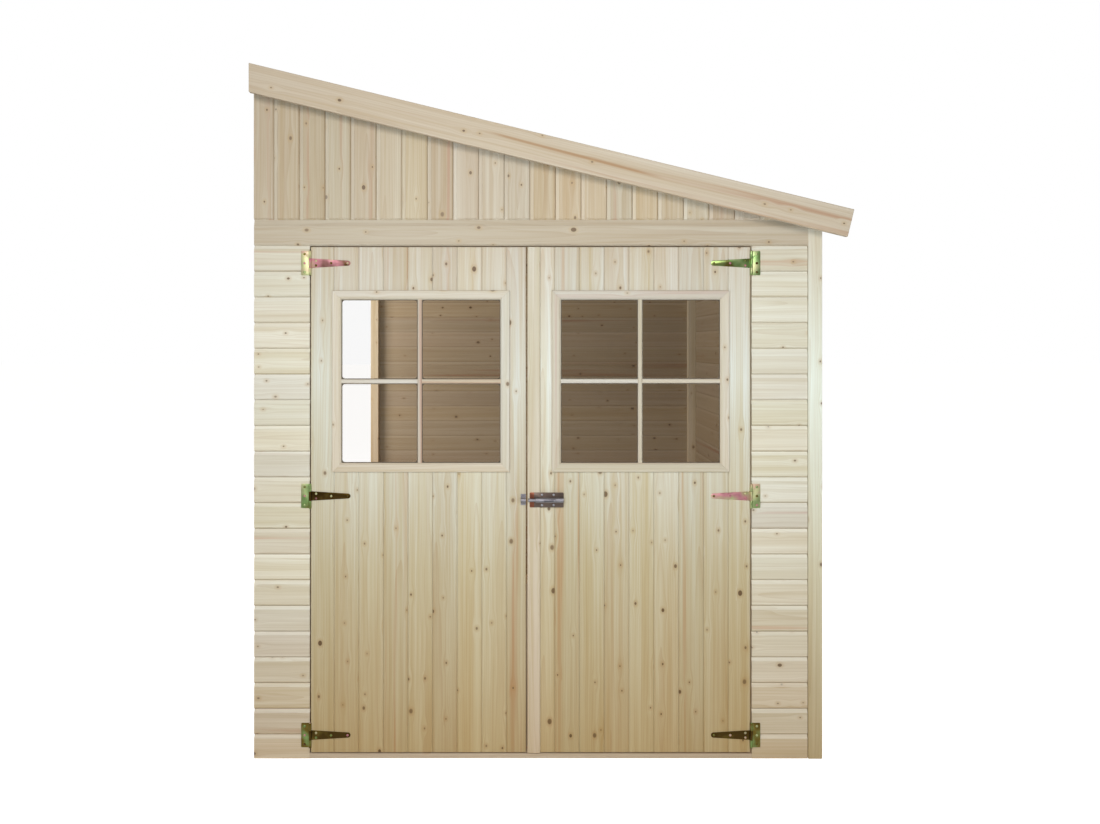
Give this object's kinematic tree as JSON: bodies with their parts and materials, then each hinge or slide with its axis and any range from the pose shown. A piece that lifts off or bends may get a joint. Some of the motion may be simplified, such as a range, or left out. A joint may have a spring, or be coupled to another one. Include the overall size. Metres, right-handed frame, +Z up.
{
  "type": "lean-to garden shed",
  "caption": "Unpainted board-clad lean-to garden shed with a single-pitch roof, glazed double doors, T-hinges and a sliding bolt, open on the house side.",
  "frame": {"origin": "centre of the bounding box at ground level", "axes": "+Z up, -Y out of the doors, -X towards the house wall, +X towards the eave"},
  "size_m": [2.04, 2.42, 2.37],
  "materials": {
    "cladding": "planed unpainted spruce boards",
    "door_boards": "planed unpainted spruce boards",
    "trim": "planed unpainted spruce",
    "frame_timber": "planed unpainted spruce timber",
    "roof_boards": "planed unpainted spruce boards",
    "pane": "clear sheet",
    "hinge_steel": "yellow-passivated zinc plating",
    "bolt_steel": "zinc plating"
  },
  "bodies": {
    "shed": {"front_left_panel": "cladding", "front_right_panel": "cladding", "front_header": "cladding", "front_gable": "cladding", "front_corner_trim": "trim", "door_threshold": "trim", "front_left_post": "frame_timber", "front_corner_post": "frame_timber", "front_left_jamb": "frame_timber", "front_right_jamb": "frame_timber", "front_head_rail": "frame_timber", "front_gable_stud": "frame_timber", "front_top_rail": "frame_timber", "side_wall": "cladding", "side_bottom_rail": "frame_timber", "side_top_plate": "frame_timber", "side_stud": "frame_timber", "back_wall": "cladding", "back_corner_trim": "trim", "back_left_post": "frame_timber", "back_corner_post": "frame_timber", "back_bottom_rail": "frame_timber", "back_middle_stud": "frame_timber", "back_top_rail": "frame_timber", "house_beam": "frame_timber", "purlins": "frame_timber", "roof_deck": "roof_boards", "front_fascia": "trim", "back_fascia": "trim", "hinge_leaves": "hinge_steel"},
    "left_door": {"left_door_boards": "door_boards", "left_door_ledges": "frame_timber", "left_window_casing": "trim", "left_window_pane": "pane", "left_hinge_straps": "hinge_steel", "bolt_keeper": "bolt_steel"},
    "right_door": {"right_door_boards": "door_boards", "right_door_ledges": "frame_timber", "right_window_casing": "trim", "right_window_pane": "pane", "right_hinge_straps": "hinge_steel", "cover_strip": "trim", "bolt_backing": "frame_timber", "bolt_barrel": "bolt_steel"},
    "bolt": {"bolt_rod": "bolt_steel"}
  },
  "joints": [
    {"name": "left_door_hinge", "type": "hinge", "parent": "shed", "child": "left_door", "pos_m": [-0.8265, -1.1545, 0.9], "axis": [0, 0, -1], "range_deg": [0, 100]},
    {"name": "right_door_hinge", "type": "hinge", "parent": "shed", "child": "right_door", "pos_m": [0.6865, -1.1545, 0.9], "axis": [0, 0, 1], "range_deg": [0, 165]},
    {"name": "bolt_slide", "type": "slide", "parent": "right_door", "child": "bolt", "axis": [-1, 0, 0], "range_m": [0, 0.03]}
  ]
}
